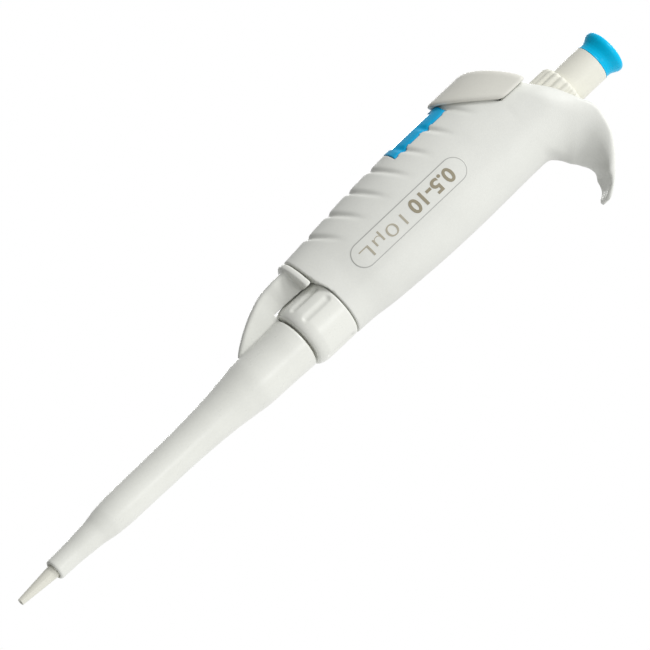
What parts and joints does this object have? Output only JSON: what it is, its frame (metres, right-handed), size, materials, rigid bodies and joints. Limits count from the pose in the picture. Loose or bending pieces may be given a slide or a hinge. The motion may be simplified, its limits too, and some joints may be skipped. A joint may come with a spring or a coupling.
{
  "type": "micropipette",
  "caption": "Adjustable single-channel air-displacement micropipette with finger hook, push button, ribbed volume dial, thumb ejector pad, fluted connecting nut and slim tip-ejector sleeve.",
  "frame": {"origin": "centre of the nozzle's lower end, on the plunger axis", "axes": "+Z along the plunger axis towards the push button; +Y towards the finger hook; -Y is the front with the ejector pad and the volume display; x = 0 is the plane of symmetry"},
  "size_m": [0.0242, 0.0557, 0.24],
  "materials": {
    "body_grey": "satin",
    "cream_plastic": "satin",
    "blue_plate": "satin",
    "blue_cap": "gloss",
    "clear_lens": "gloss",
    "frame_black": "satin",
    "drum_black": "matte",
    "acetal_white": "satin",
    "steel": "brushed",
    "steel_bright": "polished",
    "brass": "machined",
    "rubber": "matte"
  },
  "bodies": {
    "handle": {"handle_shell": "body_grey", "colour_strip": "blue_plate", "display_lens": "clear_lens", "label_plate": "body_grey", "mechanism_frame": "frame_black", "frame_screws": "steel", "idler_pin": "steel", "dial_bearing": "acetal_white", "barrel": "cream_plastic", "barrel_o_ring": "rubber", "piston_seal": "acetal_white", "seal_o_ring": "rubber", "seal_retainer": "acetal_white"},
    "plunger": {"push_button": "cream_plastic", "button_cap": "blue_cap", "plunger_rod": "steel", "rod_collar": "brass", "piston_head": "acetal_white", "piston": "steel_bright", "return_spring": "steel"},
    "dial": {"volume_dial": "cream_plastic", "volume_spindle": "brass", "dial_gear": "acetal_white"},
    "idler": {"idler_gear": "acetal_white"},
    "counter_units": {"counter_gear": "acetal_white", "counter_shaft": "steel", "number_drum_1": "drum_black"},
    "counter_tens": {"number_drum_2": "drum_black"},
    "counter_hundreds": {"number_drum_3": "drum_black"},
    "carriage": {"stop_carriage": "brass", "blowout_spring": "steel"},
    "ejector": {"ejector_pad": "cream_plastic", "ejector_yoke": "frame_black", "ejector_sleeve": "cream_plastic", "ejector_spring": "steel"},
    "nut": {"connecting_nut": "cream_plastic"}
  },
  "joints": [
    {"name": "plunger_press", "type": "slide", "parent": "handle", "child": "plunger", "axis": [0, 0, 1], "range_m": [-0.0105, 0], "stiffness_N_per_m": 300, "springref_m": 0.005, "deforming": ["return_spring", "blowout_spring"]},
    {"name": "volume_turn", "type": "hinge", "parent": "handle", "child": "dial", "pos_m": [0, 0, 0.21], "axis": [0, 0, 1], "range_deg": [0, 3408]},
    {"name": "idler_turn", "type": "hinge", "parent": "handle", "child": "idler", "pos_m": [0, -0.00725, 0.189], "axis": [0, 0, 1], "range_deg": [-5577, 0]},
    {"name": "units_turn", "type": "hinge", "parent": "handle", "child": "counter_units", "pos_m": [0, -0.0145, 0.174], "axis": [0, 0, 1], "range_deg": [0, 3409]},
    {"name": "tens_turn", "type": "hinge", "parent": "handle", "child": "counter_tens", "pos_m": [0, -0.0145, 0.179], "axis": [0, 0, 1], "range_deg": [0, 341]},
    {"name": "hundreds_turn", "type": "hinge", "parent": "handle", "child": "counter_hundreds", "pos_m": [0, -0.0145, 0.184], "axis": [0, 0, 1], "range_deg": [0, 34.1]},
    {"name": "stop_lift", "type": "slide", "parent": "handle", "child": "carriage", "axis": [0, 0, 1], "range_m": [0, 0.00711]},
    {"name": "ejector_press", "type": "slide", "parent": "handle", "child": "ejector", "axis": [0, 0, 1], "range_m": [-0.007, 0], "stiffness_N_per_m": 400, "springref_m": 0.006, "deforming": ["ejector_spring"]},
    {"name": "nut_turn", "type": "hinge", "parent": "handle", "child": "nut", "pos_m": [0, 0, 0.12], "axis": [0, 0, 1], "range_deg": [-60, 0]}
  ],
  "couplings": [
    {"joint": "idler_turn", "follows": "volume_turn", "ratio": -1.6364},
    {"joint": "units_turn", "follows": "volume_turn", "ratio": 1},
    {"joint": "tens_turn", "follows": "volume_turn", "ratio": 0.1},
    {"joint": "hundreds_turn", "follows": "volume_turn", "ratio": 0.01},
    {"joint": "stop_lift", "follows": "volume_turn", "m_per_rad": 0.00011937}
  ]
}
